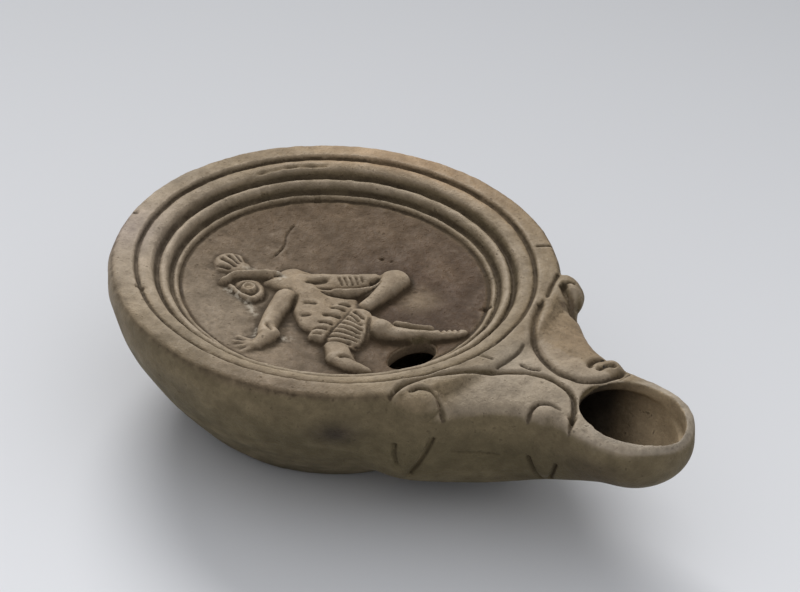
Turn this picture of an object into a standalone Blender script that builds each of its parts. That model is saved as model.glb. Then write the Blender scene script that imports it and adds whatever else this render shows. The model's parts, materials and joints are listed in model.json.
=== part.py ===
"""Hollow clay oil lamp: round body, sunk disc with a relief figure, volute nozzle and two holes.

The origin is the centre of the flat base, +X runs along the nozzle and +Z is up.
"""

import math

import bmesh
import bpy
import numpy as np

MM = 0.001

# Body, a circle seen from above
BODY_HEIGHT = 27.0 * MM
RIM_RADIUS = 36.0 * MM
WALL_BULGE = 1.6 * MM
WIDEST_DROP = 4.0 * MM
FOOT_RADIUS = 23.2 * MM
FOOT_HEIGHT = 1.0 * MM
FOOT_TAPER = 0.8 * MM
BELLY_POWER = 1.57
SHOULDER_POWER = 2.6
BASE_GROOVE_INSET = 4.2 * MM
BASE_GROOVE_DEPTH = 0.5 * MM
BASE_GROOVE_HALF_WIDTH = 0.9 * MM

# Top of the body, from the flat shoulder down to the sunk disc
SHOULDER_WIDTH = 3.0 * MM
SHOULDER_STEP = 1.15 * MM
STEP_WIDTH = 0.6 * MM
SLOPE_WIDTH = 6.9 * MM
DISC_EDGE_DEPTH = 4.6 * MM
DISC_DISH = 1.5 * MM
# Half-round rings on the slope: how far inside the rim, half width, height
RINGS = (
    (4.9 * MM, 1.35 * MM, 1.15 * MM),
    (7.6 * MM, 1.15 * MM, 1.20 * MM),
    (9.6 * MM, 0.65 * MM, 0.75 * MM),
)

# Nozzle: its length and its stations are measured out from the body's wall
NOZZLE_LENGTH = 32.7 * MM
NOZZLE_DROP = 0.9 * MM
NOZZLE_EDGE_DROP = 5.0 * MM
ROOT_TOP_POWER = 3.0
HEAD_TOP_POWER = 6.0
KEEL_POWER = 2.15
ROOT_INSET = 7.4 * MM
ROOT_HALF_WIDTH = 23.6 * MM
FLANK_HALF_WIDTH = 17.0 * MM
NECK_OUT = 4.6 * MM
NECK_HALF_WIDTH = 12.8 * MM
WAIST_OUT = 12.6 * MM
WAIST_HALF_WIDTH = 9.6 * MM
HEAD_OUT = 20.6 * MM
HEAD_HALF_WIDTH = 10.1 * MM
KEEL_WALL_RISE = 3.6 * MM
KEEL_WAIST_RISE = 8.9 * MM
KEEL_HEAD_RISE = 13.8 * MM

# Walls and holes
WALL = 3.4 * MM
FLOOR = 3.2 * MM
DISC_THICKNESS = 2.6 * MM
NOZZLE_WALL = 2.0 * MM
WICK_HOLE_RIM = 1.6 * MM
WICK_HOLE_HALF_LENGTH = 8.9 * MM
WICK_HOLE_HALF_WIDTH = 7.2 * MM
FILLING_HOLE_INSET = 4.2 * MM
FILLING_HOLE_SIDE = 6.5 * MM
FILLING_HOLE_HALF_LENGTH = 5.4 * MM
FILLING_HOLE_HALF_WIDTH = 3.1 * MM

# Volutes: one pair where the nozzle leaves the body, one pair beside the wick hole
VOLUTE_ANGLE = 33.4
VOLUTE_STAND = 0.4 * MM
VOLUTE_HALF_LENGTH = 4.4 * MM
VOLUTE_HALF_WIDTH = 2.8 * MM
VOLUTE_HALF_HEIGHT = 6.5 * MM
VOLUTE_RISE = 0.2 * MM
SMALL_VOLUTE_SET_ON = 0.2 * MM
SMALL_VOLUTE_STAND = 0.5 * MM
SMALL_VOLUTE_LEAN = 20.0
SMALL_VOLUTE_HALF_LENGTH = 3.0 * MM
SMALL_VOLUTE_HALF_WIDTH = 2.2 * MM
SMALL_VOLUTE_HALF_HEIGHT = 3.6 * MM
SMALL_VOLUTE_DROP = 0.6 * MM
VOLUTE_LINE_HALF_WIDTH = 0.55 * MM
VOLUTE_LINE_DEPTH = 1.0 * MM
# The groove from a large volute to the small one: shares of its length and of its first offset
VOLUTE_SWEEP_LENGTH = 24.2 * MM
VOLUTE_SWEEP = (
    (0.00, 1.00),
    (0.00, 0.88),
    (0.03, 0.72),
    (0.09, 0.56),
    (0.19, 0.40),
    (0.30, 0.25),
    (0.41, 0.15),
    (0.54, 0.09),
    (0.68, 0.07),
    (0.82, 0.11),
    (0.92, 0.21),
    (1.00, 0.34),
)

# Relief figure: its plan and its place on the disc are in units of about a 25th of the disc's radius
FIGURE_X = 0.8
FIGURE_Y = -1.1
RELIEF_HEIGHT = 1.9 * MM
RELIEF_LINE_DEPTH = 0.6 * MM

# Mesh, with clay below the base that the ground plane cuts off
SPARE_CLAY = 0.8 * MM
TURNED_STEPS = 128
CHAMBER_STEPS = 40
BLANK_VOXEL = 0.5 * MM
BLANK_PASSES = 60
SKIN_VOXEL = 0.35 * MM
SKIN_PASSES = 12
SEAM_TOP_DROP = 1.2 * MM
SKIN_TRIANGLES = 7700
CLAY = (0.30, 0.25, 0.19, 1.0)
CLAY_ROUGHNESS = 0.72

WIDEST_RADIUS = RIM_RADIUS + WALL_BULGE
WIDEST_HEIGHT = BODY_HEIGHT - WIDEST_DROP
DISC_RADIUS = RIM_RADIUS - SHOULDER_WIDTH - STEP_WIDTH - SLOPE_WIDTH
FIGURE_UNIT = DISC_RADIUS / 25.5
NOZZLE_REACH = WIDEST_RADIUS + NOZZLE_LENGTH
NOZZLE_ROOT = WIDEST_RADIUS - ROOT_INSET
NOZZLE_START = 0.5 * NOZZLE_ROOT
NOZZLE_EDGE = BODY_HEIGHT - NOZZLE_EDGE_DROP
HEAD_X = WIDEST_RADIUS + HEAD_OUT
WAIST_X = WIDEST_RADIUS + WAIST_OUT
WICK_HOLE_X = NOZZLE_REACH - WICK_HOLE_RIM - WICK_HOLE_HALF_LENGTH


def collection(name, hidden=False):
    made = bpy.data.collections.new(name)
    bpy.context.scene.collection.children.link(made)
    made.hide_render = hidden
    return made


def clay():
    material = bpy.data.materials.new("fired_clay")
    material.use_nodes = True
    surface = material.node_tree.nodes["Principled BSDF"]
    surface.inputs["Base Color"].default_value = CLAY
    surface.inputs["Roughness"].default_value = CLAY_ROUGHNESS
    surface.inputs["Metallic"].default_value = 0.0
    return material


def add_object(name, mesh, group):
    made = bpy.data.objects.new(name, mesh)
    group.objects.link(made)
    return made


def moved_to(made, group):
    for other in list(made.users_collection):
        other.objects.unlink(made)
    group.objects.link(made)
    return made


def evaluated_mesh(source):
    """The object's mesh with its modifiers done, as a mesh of its own."""
    bpy.context.view_layer.update()
    graph = bpy.context.evaluated_depsgraph_get()
    return bpy.data.meshes.new_from_object(source.evaluated_get(graph))


def replace_mesh(target, mesh):
    target.modifiers.clear()
    target.data = mesh


def points_of(mesh):
    points = np.empty(len(mesh.vertices) * 3, np.float32)
    mesh.vertices.foreach_get("co", points)
    return points.reshape(-1, 3).astype(float)


def normals_of(mesh):
    normals = np.empty(len(mesh.vertices) * 3, np.float32)
    mesh.vertices.foreach_get("normal", normals)
    return normals.reshape(-1, 3).astype(float)


def set_points(mesh, points):
    mesh.vertices.foreach_set("co", points.astype(np.float32).ravel())
    mesh.update()


def curve_through(keys, at):
    """A smooth curve through (place, value) keys, read at the places given."""
    place, value = (np.array(column, float) for column in zip(*keys))
    slope = np.gradient(value, place)
    i = np.clip(np.searchsorted(place, at) - 1, 0, len(place) - 2)
    span = place[i + 1] - place[i]
    t = np.clip((at - place[i]) / span, 0, 1)
    return (
        (1 + 2 * t) * (1 - t) ** 2 * value[i]
        + t * (1 - t) ** 2 * span * slope[i]
        + t * t * (3 - 2 * t) * value[i + 1]
        - t * t * (1 - t) * span * slope[i + 1]
    )


def arc(centre, radius, start, end, steps=9):
    """Points on an arc of a circle, with its angles in degrees."""
    angles = np.radians(np.linspace(start, end, steps))
    return [(centre[0] + radius * math.cos(a), centre[1] + radius * math.sin(a)) for a in angles]


# The turned body


def belly_radius(height):
    """The outside radius of the wall below its widest height."""
    below = np.clip((WIDEST_HEIGHT - height) / (WIDEST_HEIGHT - FOOT_HEIGHT), 0, 1)
    return WIDEST_RADIUS - (WIDEST_RADIUS - FOOT_RADIUS) * below**BELLY_POWER


def top_height(radius):
    """The height of the body's top at a radius: shoulder, ringed slope, dished disc."""
    step_end = RIM_RADIUS - SHOULDER_WIDTH - STEP_WIDTH
    slope = (DISC_EDGE_DEPTH - SHOULDER_STEP) / (step_end - DISC_RADIUS)
    over_step = np.clip((RIM_RADIUS - SHOULDER_WIDTH - radius) / STEP_WIDTH, 0, 1)
    depth = SHOULDER_STEP * over_step + slope * np.clip(step_end - radius, 0, step_end - DISC_RADIUS)
    depth = depth + DISC_DISH * np.clip(1 - (radius / DISC_RADIUS) ** 2, 0, 1)
    rings = 0.0
    for inside, half_width, height in RINGS:
        across = (radius - (RIM_RADIUS - inside)) / half_width
        rings = np.maximum(rings, height * np.sqrt(np.clip(1 - across**2, 0, 1)))
    return BODY_HEIGHT - depth + rings


def turned(name, profile, group, steps=TURNED_STEPS):
    """A solid turned from a profile of (radius, height) that runs outwards, down and back in."""
    mesh = bpy.data.meshes.new(name)
    edges = [(i, i + 1) for i in range(len(profile) - 1)]
    mesh.from_pydata([(radius, 0, height) for radius, height in profile], edges, [])
    made = add_object(name, mesh, group)
    screw = made.modifiers.new("turn", "SCREW")
    screw.steps = screw.render_steps = steps
    screw.use_merge_vertices = True
    screw.merge_threshold = 1e-6
    return made


def body_profile():
    """The body's outline from the middle of the disc over the shoulder and the wall to the base."""
    disc_radii, slope_radii = np.linspace(0, DISC_RADIUS, 12), np.linspace(DISC_RADIUS, RIM_RADIUS, 64)
    radii = np.concatenate([disc_radii, slope_radii[1:]])
    top = [(radius, top_height(radius)) for radius in radii]
    shoulder = [
        (
            RIM_RADIUS + WALL_BULGE * math.sin(a) ** (2 / SHOULDER_POWER),
            WIDEST_HEIGHT + WIDEST_DROP * math.cos(a) ** (2 / SHOULDER_POWER),
        )
        for a in np.radians(np.linspace(10, 90, 9))
    ]
    wall = [(belly_radius(z), z) for z in np.linspace(WIDEST_HEIGHT, FOOT_HEIGHT, 20)[1:]]
    base_radius = FOOT_RADIUS - FOOT_TAPER
    foot = [(base_radius, 0.0), (base_radius, -SPARE_CLAY)]
    groove = [
        (
            base_radius - BASE_GROOVE_INSET + BASE_GROOVE_HALF_WIDTH * math.cos(a),
            (BASE_GROOVE_DEPTH + SPARE_CLAY) * math.sin(a) - SPARE_CLAY,
        )
        for a in np.radians(np.linspace(0, 180, 9))
    ]
    return top + shoulder + wall + foot + groove + [(0.0, -SPARE_CLAY)]


# The nozzle


def nozzle_half_width(x):
    """Half the width at the widest level: it leaves the wall, narrows to a waist, ends in a round head."""
    keys = (
        (NOZZLE_START, 1.08 * ROOT_HALF_WIDTH),
        (NOZZLE_ROOT, ROOT_HALF_WIDTH),
        (WIDEST_RADIUS, FLANK_HALF_WIDTH),
        (WIDEST_RADIUS + NECK_OUT, NECK_HALF_WIDTH),
        (WAIST_X, WAIST_HALF_WIDTH),
        (HEAD_X, HEAD_HALF_WIDTH),
    )
    along = np.clip((x - HEAD_X) / (NOZZLE_REACH - HEAD_X), 0, 1)
    head = HEAD_HALF_WIDTH * np.sqrt(1 - along**2.2)
    return np.where(x > HEAD_X, head, curve_through(keys, np.minimum(x, HEAD_X)))


def keel_height(x):
    """The nozzle's underside along its middle: it leaves the foot and rises to the tip."""
    keys = (
        (NOZZLE_START, FOOT_HEIGHT),
        (FOOT_RADIUS, 0.9 * FOOT_HEIGHT),
        (WIDEST_RADIUS, KEEL_WALL_RISE),
        (WAIST_X, KEEL_WAIST_RISE),
        (WICK_HOLE_X, KEEL_HEAD_RISE),
    )
    along = np.clip((x - WICK_HOLE_X) / (NOZZLE_REACH - WICK_HOLE_X), 0, 1)
    head = NOZZLE_EDGE - (NOZZLE_EDGE - KEEL_HEAD_RISE) * np.sqrt(1 - along**2)
    return np.where(x > WICK_HOLE_X, head, curve_through(keys, np.minimum(x, WICK_HOLE_X)))


def rounded(cosine, power):
    """One coordinate on a superellipse."""
    return math.copysign(abs(cosine) ** (2 / power), cosine)


def nozzle_section(x, inset, sides):
    """A section across the nozzle at x: a flat-topped upper half on a round keel."""
    tip = max((x - WICK_HOLE_X) / (NOZZLE_REACH - WICK_HOLE_X), 0)
    rise = (NOZZLE_EDGE_DROP - NOZZLE_DROP) * math.sqrt(max(1 - tip**6, 0)) - inset
    top = NOZZLE_EDGE + max(rise, 0.2 * MM)
    bottom = min(float(keel_height(x)) + inset, NOZZLE_EDGE - 0.2 * MM)
    half = float(nozzle_half_width(x)) - inset
    under_disc = BODY_HEIGHT - DISC_EDGE_DEPTH - DISC_DISH - inset
    power = np.interp(x, (WIDEST_RADIUS, HEAD_X), (ROOT_TOP_POWER, HEAD_TOP_POWER))
    section = []
    for a in np.linspace(0, 2 * math.pi, sides, endpoint=False):
        c, s = math.cos(a), math.sin(a)
        if s > 0:
            y = half * rounded(c, power)
            z = NOZZLE_EDGE + (top - NOZZLE_EDGE) * rounded(s, power)
            if math.hypot(x, y) < RIM_RADIUS - 0.6 * SHOULDER_WIDTH:
                z = min(z, under_disc)
        else:
            y = half * rounded(c, KEEL_POWER)
            z = NOZZLE_EDGE + (NOZZLE_EDGE - bottom) * rounded(s, KEEL_POWER)
        section.append((y, z))
    return section


def nozzle_solid(name, group, inset=0.0, sides=56, stations=52):
    """The nozzle lofted through its sections, or with an inset the channel inside it."""
    built = bmesh.new()
    loops = []
    reach = NOZZLE_REACH - inset
    squeeze = (NOZZLE_REACH - NOZZLE_START) / (reach - NOZZLE_START)
    for t in np.linspace(0, 1, stations)[:-1]:
        along = (reach - NOZZLE_START) * math.sin(t * math.pi / 2) ** 1.1
        section = nozzle_section(NOZZLE_START + along * squeeze, inset, sides)
        if section[0][0] < 0.2 * MM:
            break
        loops.append([built.verts.new((NOZZLE_START + along, y, z)) for y, z in section])
    for first, second in zip(loops, loops[1:]):
        for i in range(sides):
            j = (i + 1) % sides
            built.faces.new((first[i], second[i], second[j], first[j]))
    built.faces.new(loops[0])
    tip = built.verts.new((reach, 0, NOZZLE_EDGE))
    for i in range(sides):
        built.faces.new((loops[-1][i], tip, loops[-1][(i + 1) % sides]))
    bmesh.ops.recalc_face_normals(built, faces=built.faces)
    mesh = bpy.data.meshes.new(name)
    built.to_mesh(mesh)
    built.free()
    return add_object(name, mesh, group)


def volutes():
    """The two volutes where y is positive: centre, half sizes, turn about Z and depth under the top."""
    turn = math.radians(VOLUTE_ANGLE)
    reach = WIDEST_RADIUS + VOLUTE_STAND
    small_side = WAIST_HALF_WIDTH + SMALL_VOLUTE_STAND - SMALL_VOLUTE_HALF_WIDTH
    return (
        (
            (reach * math.cos(turn), reach * math.sin(turn)),
            (VOLUTE_HALF_LENGTH, VOLUTE_HALF_WIDTH, VOLUTE_HALF_HEIGHT),
            turn - math.pi / 2,
            -VOLUTE_RISE,
        ),
        (
            (WAIST_X + SMALL_VOLUTE_SET_ON, small_side),
            (SMALL_VOLUTE_HALF_LENGTH, SMALL_VOLUTE_HALF_WIDTH, SMALL_VOLUTE_HALF_HEIGHT),
            -math.radians(SMALL_VOLUTE_LEAN),
            SMALL_VOLUTE_DROP,
        ),
    )


def volute_knob(name, centre, half_sizes, turn, drop, group):
    """A volute's knob, which stands out over the side wall and fades down it as a rib."""
    bpy.ops.mesh.primitive_uv_sphere_add(segments=24, ring_count=16, radius=1.0)
    knob = bpy.context.object
    knob.name = name
    knob.scale = half_sizes
    knob.rotation_euler = (0, 0, turn)
    knob.location = (centre[0], centre[1], BODY_HEIGHT - drop - half_sizes[2])
    return moved_to(knob, group)


# Carving: rises and lines measured in plan


def path_distance(x, y, path):
    """Distance in plan from points to a path, and how far along the path the nearest place is, 0 to 1."""
    nearest = np.full(x.shape, 1e9)
    along = np.zeros(x.shape)
    count = len(path) - 1
    for i, ((ax, ay), (bx, by)) in enumerate(zip(path, path[1:])):
        dx, dy = bx - ax, by - ay
        t = np.clip(((x - ax) * dx + (y - ay) * dy) / (dx * dx + dy * dy), 0, 1)
        distance = np.hypot(x - ax - t * dx, y - ay - t * dy)
        closer = distance < nearest
        nearest = np.where(closer, distance, nearest)
        along = np.where(closer, (i + t) / count, along)
    return nearest, along


def swell(x, y, path, half_widths, height):
    """A rounded rise along a path, such as a limb."""
    distance, along = path_distance(x, y, path)
    half = np.interp(along, np.linspace(0, 1, len(half_widths)), half_widths)
    return height * np.clip(1 - (distance / half) ** 2, 0, 1) ** 0.5


def furrow(x, y, path, half_width, depth):
    """A groove along a path, which fades out at its ends."""
    distance, _ = path_distance(x, y, path)
    return depth * np.exp(-((distance / half_width) ** 2))


# The fallen fighter, feet to the nozzle: path, half widths, share of the relief height
LIMBS = {
    "torso": (((-7.2, -3.0), (-2.0, -4.6), (3.2, -6.2)), (3.4, 4.6, 5.0), 0.95),
    "neck": (((-9.2, -4.0), (-6.0, -4.0)), (2.6, 3.2), 0.8),
    "helmet": (((-13.2, -6.6), (-10.6, -7.6), (-8.2, -8.8)), (2.6, 3.6, 3.4), 0.85),
    "brim": (((-16.4, -9.9), (-15.2, -6.6), (-13.0, -3.8), (-10.4, -1.9)), (0.7, 1.1, 1.2, 0.8), 1.0),
    "plume": (((-15.4, -5.8), (-18.8, -5.2)), (1.8, 3.2), 0.5),
    "propping_upper_arm": (((-5.0, -6.2), (-2.4, -11.0), (0.2, -15.6)), (2.5, 2.4, 2.3), 1.05),
    "propping_forearm": (((0.2, -15.6), (0.4, -18.4), (-0.2, -20.8)), (2.5, 2.1, 1.5), 0.95),
    "propping_hand": (((-0.2, -20.8), (-1.6, -22.4)), (1.5, 1.9), 0.55),
    "far_arm": (((-8.2, -0.8), (-3.6, 1.6), (0.4, 4.6), (3.2, 8.4)), (1.7, 2.1, 2.0, 1.9), 0.9),
    "shield_edge": (((-2.4, -1.4), (1.2, 0.0), (3.6, 2.8), (4.5, 6.6)), (0.7, 0.9, 0.9, 0.7), 1.0),
    "raised_thigh": (((5.3, 10.6), (6.3, 5.6), (6.6, 0.4)), (3.1, 2.1, 1.7), 1.25),
    "skirt": (((5.2, -2.0), (7.0, -5.8), (9.0, -9.6)), (4.2, 5.4, 4.2), 0.95),
    "long_leg": (((8.6, -2.4), (12.0, -3.0), (15.4, -1.2), (19.4, 0.9)), (2.4, 2.3, 1.7, 1.4), 1.1),
    "long_foot": (((19.4, 0.9), (21.6, 3.0), (23.2, 5.2)), (1.3, 1.7, 1.5), 0.75),
    "bent_thigh": (((9.4, -10.6), (12.6, -14.6)), (3.4, 3.2), 1.0),
    "bent_shin": (((13.0, -15.4), (16.6, -16.2), (20.4, -14.8)), (2.9, 2.2, 0.9), 0.9),
}


def fan(root, start, end, inner, outer, count):
    """Straight lines that spread from a root, between two angles in degrees and two distances."""
    lines = []
    for angle in np.radians(np.linspace(start, end, count)):
        c, s = math.cos(angle), math.sin(angle)
        lines.append(
            ((root[0] + inner * c, root[1] + inner * s), (root[0] + outer * c, root[1] + outer * s))
        )
    return lines


def figure_lines():
    """Lines cut into the figure: path and half width."""
    pleats = fan((-1.6, -4.6), 28, -38, 7.4, 11.2, 6)
    lappets = fan((-3.4, -4.6), 26, -46, 5.6, 8.2, 6)
    feathers = fan((-14.4, -6.0), 142, 208, 2.0, 6.4, 4)
    fingers = fan((0.4, -20.6), 208, 268, 1.5, 3.6, 3)
    toes = fan((20.4, 2.6), 28, 62, 1.4, 3.8, 2)
    eye = arc((-11.3, -8.7), 1.15, 0, 360, 17)
    shadow_under_brim = [(-14.9, -9.4), (-13.4, -6.4), (-11.9, -4.4), (-10.2, -2.9)]
    greave = [(13.8, -1.5), (16.4, -0.3), (18.8, 1.3)]
    shield = [(-0.8, -1.5), (2.2, -0.3), (4.3, 2.4), (5.0, 5.6)]
    wide = [(path, 0.5) for path in (shadow_under_brim, greave, shield)]
    fine = [(path, 0.36) for path in pleats + lappets + feathers + fingers + toes + [eye]]
    return wide + fine


def figure_relief(x, y):
    """Height of the figure above the disc at points in plan, and the depth of the lines on it."""
    u, v = x / FIGURE_UNIT - FIGURE_X, y / FIGURE_UNIT - FIGURE_Y
    rise = np.zeros(x.shape)
    for path, half_widths, share in LIMBS.values():
        rise = np.maximum(rise, swell(u, v, path, half_widths, share * RELIEF_HEIGHT))
    cut = np.zeros(x.shape)
    for path, half_width in figure_lines():
        cut = np.maximum(cut, furrow(u, v, path, half_width, RELIEF_LINE_DEPTH))
    return rise - cut * np.clip(rise / (0.5 * RELIEF_HEIGHT), 0, 1)


def volute_lines():
    """Grooves of one side's two volutes, on the side where y is positive."""
    (large, large_sizes, _, _), (small, small_sizes, _, _) = volutes()
    start = (large[0] - 0.75 * large_sizes[0], large[1] + 0.8 * large_sizes[1])
    place = np.linspace(0, 1, len(VOLUTE_SWEEP))
    at = np.linspace(0, 1, 45)
    xs = start[0] + VOLUTE_SWEEP_LENGTH * curve_through(list(zip(place, [a for a, _ in VOLUTE_SWEEP])), at)
    ys = start[1] * curve_through(list(zip(place, [b for _, b in VOLUTE_SWEEP])), at)
    large_curl = arc(large, 0.92 * large_sizes[0], 205, 315)
    small_curl = arc(small, small_sizes[0], 120, 310)
    return [list(zip(xs, ys)), large_curl, small_curl]


def carve(mesh):
    """Moves the skin's points from above: rings made true, the figure raised, the volutes cut in."""
    points, normals = points_of(mesh), normals_of(mesh)
    x, y, z = points.T
    radius = np.hypot(x, y)
    deepest = BODY_HEIGHT - DISC_EDGE_DEPTH - DISC_DISH
    turned_top = (radius < RIM_RADIUS - SKIN_VOXEL) & (z > deepest - 3 * SKIN_VOXEL)
    points[turned_top, 2] = top_height(radius[turned_top])
    faces_up = np.clip(normals[:, 2] * 2.5, 0, 1) * (z > deepest - 0.5 * MM)
    on_disc = faces_up * np.clip((DISC_RADIUS - radius) / (0.6 * MM), 0, 1)
    points[:, 2] += on_disc * figure_relief(x, y)
    off_disc = faces_up * np.clip((radius - RIM_RADIUS + SHOULDER_WIDTH) / (1.0 * MM), 0, 1)
    for path in volute_lines():
        lowered = furrow(x, np.abs(y), path, VOLUTE_LINE_HALF_WIDTH, VOLUTE_LINE_DEPTH)
        points[:, 2] -= off_disc * lowered
    set_points(mesh, points)


# Assembly


def join(name, pieces, group):
    """The pieces' meshes in one object, still overlapping."""
    built = bmesh.new()
    for piece in pieces:
        mesh = evaluated_mesh(piece)
        mesh.transform(piece.matrix_world)
        built.from_mesh(mesh)
        bpy.data.objects.remove(piece)
    mesh = bpy.data.meshes.new(name)
    built.to_mesh(mesh)
    built.free()
    return add_object(name, mesh, group)


def fuse(target, voxel):
    """One skin over the overlapping pieces, as the clay is one piece."""
    remesh = target.modifiers.new("fuse", "REMESH")
    remesh.mode = "VOXEL"
    remesh.voxel_size = voxel
    replace_mesh(target, evaluated_mesh(target))


def soften(target, passes):
    """The seams under the top smoothed over where the nozzle and its volutes leave the body."""
    points = points_of(target.data)
    below_top = points[:, 2] < BODY_HEIGHT - NOZZLE_DROP - SEAM_TOP_DROP
    seams = below_top & (points[:, 0] > 0.5 * NOZZLE_START) & (points[:, 2] > 0)
    group = target.vertex_groups.new(name="seams")
    group.add(np.flatnonzero(seams).tolist(), 1.0, "REPLACE")
    smooth = target.modifiers.new("soften", "SMOOTH")
    smooth.vertex_group = group.name
    smooth.factor = 0.5
    smooth.iterations = passes
    replace_mesh(target, evaluated_mesh(target))


def thin(target, triangles):
    """Fewer triangles, kept where the surface bends."""
    target.data.calc_loop_triangles()
    decimate = target.modifiers.new("thin", "DECIMATE")
    decimate.ratio = triangles / len(target.data.loop_triangles)
    decimate.use_collapse_triangulate = True
    replace_mesh(target, evaluated_mesh(target))


def chamber_profile():
    """The oil chamber inside the body's walls, from its roof under the disc to its floor."""
    roof = [
        (radius, top_height(radius) - DISC_THICKNESS)
        for radius in np.linspace(0, DISC_RADIUS - 0.6 * MM, 5)
    ]
    shoulder_roof = BODY_HEIGHT - SHOULDER_STEP - WALL
    roof.append((RIM_RADIUS - SHOULDER_WIDTH - WALL, shoulder_roof))
    heights = np.linspace(shoulder_roof - 1.0 * MM, FLOOR + 1.0 * MM, 8)
    wall = [(float(belly_radius(z)) - WALL, z) for z in heights]
    return roof + wall + [(FOOT_RADIUS - WALL, FLOOR), (0.0, FLOOR)]


def oval_cutter(name, centre, half_sizes, low, high, group, sides=40):
    """An upright oval cutter for a hole."""
    bpy.ops.mesh.primitive_cylinder_add(vertices=sides, radius=1.0, depth=high - low)
    cutter = bpy.context.object
    cutter.name = name
    cutter.scale = (half_sizes[0], half_sizes[1], 1.0)
    cutter.location = (centre[0], centre[1], (low + high) / 2)
    return moved_to(cutter, group)


def ground_cutter(name, group):
    """A block below the plane that the lamp stands on."""
    bpy.ops.mesh.primitive_cube_add(size=1.0)
    cutter = bpy.context.object
    cutter.name = name
    depth = 10.0 * MM
    cutter.scale = (3 * NOZZLE_REACH, 3 * NOZZLE_REACH, depth)
    cutter.location = (0, 0, -depth / 2)
    return moved_to(cutter, group)


def cut(target, cutter):
    boolean = target.modifiers.new("cut " + cutter.name, "BOOLEAN")
    boolean.operation = "DIFFERENCE"
    boolean.solver = "EXACT"
    boolean.object = cutter
    cutter.hide_render = True
    cutter.display_type = "WIRE"


def main():
    for old in list(bpy.data.objects):
        bpy.data.objects.remove(old)
    parts = collection("oil_lamp")
    cutters = collection("cutters", hidden=True)

    blank = join("blank", [turned("body", body_profile(), parts), nozzle_solid("nozzle", parts)], parts)
    fuse(blank, BLANK_VOXEL)
    soften(blank, BLANK_PASSES)
    pieces = [blank]
    for (x, y), half_sizes, turn, drop in volutes():
        pieces.append(volute_knob("volute", (x, y), half_sizes, turn, drop, parts))
        pieces.append(volute_knob("volute", (x, -y), half_sizes, -turn, drop, parts))
    lamp = join("lamp_body", pieces, parts)
    fuse(lamp, SKIN_VOXEL)
    soften(lamp, SKIN_PASSES)
    carve(lamp.data)
    thin(lamp, SKIN_TRIANGLES)

    above = BODY_HEIGHT + 5.0 * MM
    filling_x = DISC_RADIUS - FILLING_HOLE_INSET
    under_disc = BODY_HEIGHT - DISC_EDGE_DEPTH - DISC_DISH - DISC_THICKNESS - 2.0 * MM
    for cutter in (
        ground_cutter("ground", cutters),
        turned("chamber", chamber_profile(), cutters, CHAMBER_STEPS),
        nozzle_solid("channel", cutters, inset=NOZZLE_WALL, sides=24, stations=16),
        oval_cutter(
            "filling_hole",
            (filling_x, -FILLING_HOLE_SIDE),
            (FILLING_HOLE_HALF_WIDTH, FILLING_HOLE_HALF_LENGTH),
            under_disc,
            above,
            cutters,
        ),
        oval_cutter(
            "wick_hole",
            (WICK_HOLE_X, 0.0),
            (WICK_HOLE_HALF_LENGTH, WICK_HOLE_HALF_WIDTH),
            NOZZLE_EDGE,
            above,
            cutters,
        ),
    ):
        cut(lamp, cutter)
    lamp.data.materials.clear()
    lamp.data.materials.append(clay())


main()
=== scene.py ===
import json
import math

import bpy
import numpy as np
from mathutils import Matrix

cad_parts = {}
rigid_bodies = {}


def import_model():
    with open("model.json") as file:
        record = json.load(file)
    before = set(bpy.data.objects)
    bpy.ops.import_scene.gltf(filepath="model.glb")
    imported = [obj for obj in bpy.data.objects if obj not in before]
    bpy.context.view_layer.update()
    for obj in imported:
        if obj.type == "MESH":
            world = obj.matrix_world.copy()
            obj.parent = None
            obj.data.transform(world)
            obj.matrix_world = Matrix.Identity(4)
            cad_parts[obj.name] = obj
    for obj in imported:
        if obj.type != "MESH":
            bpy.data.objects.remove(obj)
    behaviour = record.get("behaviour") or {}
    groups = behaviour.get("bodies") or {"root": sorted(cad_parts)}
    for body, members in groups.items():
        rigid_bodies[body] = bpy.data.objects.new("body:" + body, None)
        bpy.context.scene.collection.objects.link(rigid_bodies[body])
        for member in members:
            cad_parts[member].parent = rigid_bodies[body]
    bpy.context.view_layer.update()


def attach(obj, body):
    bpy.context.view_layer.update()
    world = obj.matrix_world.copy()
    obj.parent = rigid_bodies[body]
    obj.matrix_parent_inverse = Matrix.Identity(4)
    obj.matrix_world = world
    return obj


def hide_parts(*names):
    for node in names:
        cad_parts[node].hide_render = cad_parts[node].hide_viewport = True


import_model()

# The body: a low round bowl of fired clay, closed above by a sunk disc inside turned rings.
# It was pressed in a two-part mould, so its outline is drawn from the middle of the disc over
# the rounded shoulder and down the belly to the foot, and spun.
mm = 0.001
height, rim, widest, widest_z, foot = 27.0, 36.0, 37.6, 23.0, 23.2
disc = 25.6
top_keys = (
    (-4.0, 6.05), (0.0, 6.1), (8.0, 5.95), (16.0, 5.5), (22.0, 4.95), (25.0, 4.62), (25.75, 4.58),
    (26.05, 4.1), (26.4, 3.85), (26.75, 4.05), (27.05, 4.25), (27.4, 3.75), (27.9, 2.6), (28.4, 2.2),
    (28.95, 2.35), (29.35, 2.8), (29.6, 2.85), (29.95, 2.2), (30.4, 1.2), (31.0, 0.75), (31.8, 0.6),
    (32.5, 0.72), (32.95, 1.0), (33.2, 0.75), (33.5, 0.18), (34.0, 0.02), (35.0, 0.0), (36.0, 0.06),
    (37.0, 0.4),
)


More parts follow.
